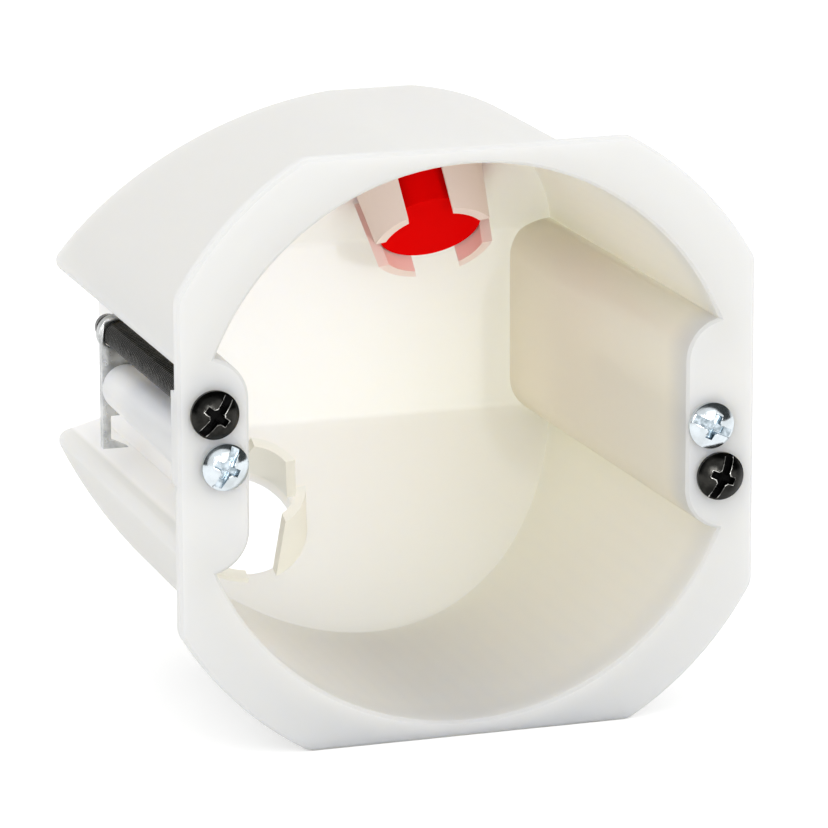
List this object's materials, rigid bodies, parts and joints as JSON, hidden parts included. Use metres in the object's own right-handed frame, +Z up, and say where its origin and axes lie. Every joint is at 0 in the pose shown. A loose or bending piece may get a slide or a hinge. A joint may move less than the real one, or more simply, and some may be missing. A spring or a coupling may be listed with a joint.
{
  "type": "electrical device box",
  "caption": "Round flanged device box for hollow walls, with claw pockets at its sides, sloped back facets with spring-tongue cable entries, device screws and swing-out clamping claws.",
  "frame": {"origin": "centre of the flange's back face, which seats on the wall's surface round the hole", "axes": "+Y runs along the box axis into the wall, +X is to the right seen from the room, +Z is up"},
  "size_m": [0.071, 0.0632, 0.071],
  "materials": {
    "shell": "satin moulded white",
    "plug": "satin moulded red",
    "claw": "zinc plated",
    "device_screw": "bright zinc plated",
    "claw_screw": "black oxide"
  },
  "bodies": {
    "box": {"box_body": "shell", "entry_plug": "plug"},
    "left_claw": {"claw_left": "claw"},
    "left_claw_screw": {"claw_screw_left": "claw_screw"},
    "left_device_screw": {"device_screw_left": "device_screw"},
    "right_claw": {"claw_right": "claw"},
    "right_claw_screw": {"claw_screw_right": "claw_screw"},
    "right_device_screw": {"device_screw_right": "device_screw"}
  },
  "joints": [
    {"name": "left_claw_swing", "type": "hinge", "parent": "box", "child": "left_claw", "pos_m": [-0.0312, 0.0404, 0.0063], "axis": [0, 1, 0], "range_deg": [0, 90]},
    {"name": "left_claw_screw_turn", "type": "hinge", "parent": "box", "child": "left_claw_screw", "pos_m": [-0.0312, 0, 0.0063], "axis": [0, 1, 0], "continuous": true},
    {"name": "left_device_screw_turn", "type": "hinge", "parent": "box", "child": "left_device_screw", "pos_m": [-0.03, 0, 0], "axis": [0, 1, 0], "continuous": true},
    {"name": "right_claw_swing", "type": "hinge", "parent": "box", "child": "right_claw", "pos_m": [0.0312, 0.0404, -0.0063], "axis": [0, 1, 0], "range_deg": [0, 90]},
    {"name": "right_claw_screw_turn", "type": "hinge", "parent": "box", "child": "right_claw_screw", "pos_m": [0.0312, 0, -0.0063], "axis": [0, 1, 0], "continuous": true},
    {"name": "right_device_screw_turn", "type": "hinge", "parent": "box", "child": "right_device_screw", "pos_m": [0.03, 0, 0], "axis": [0, 1, 0], "continuous": true}
  ]
}
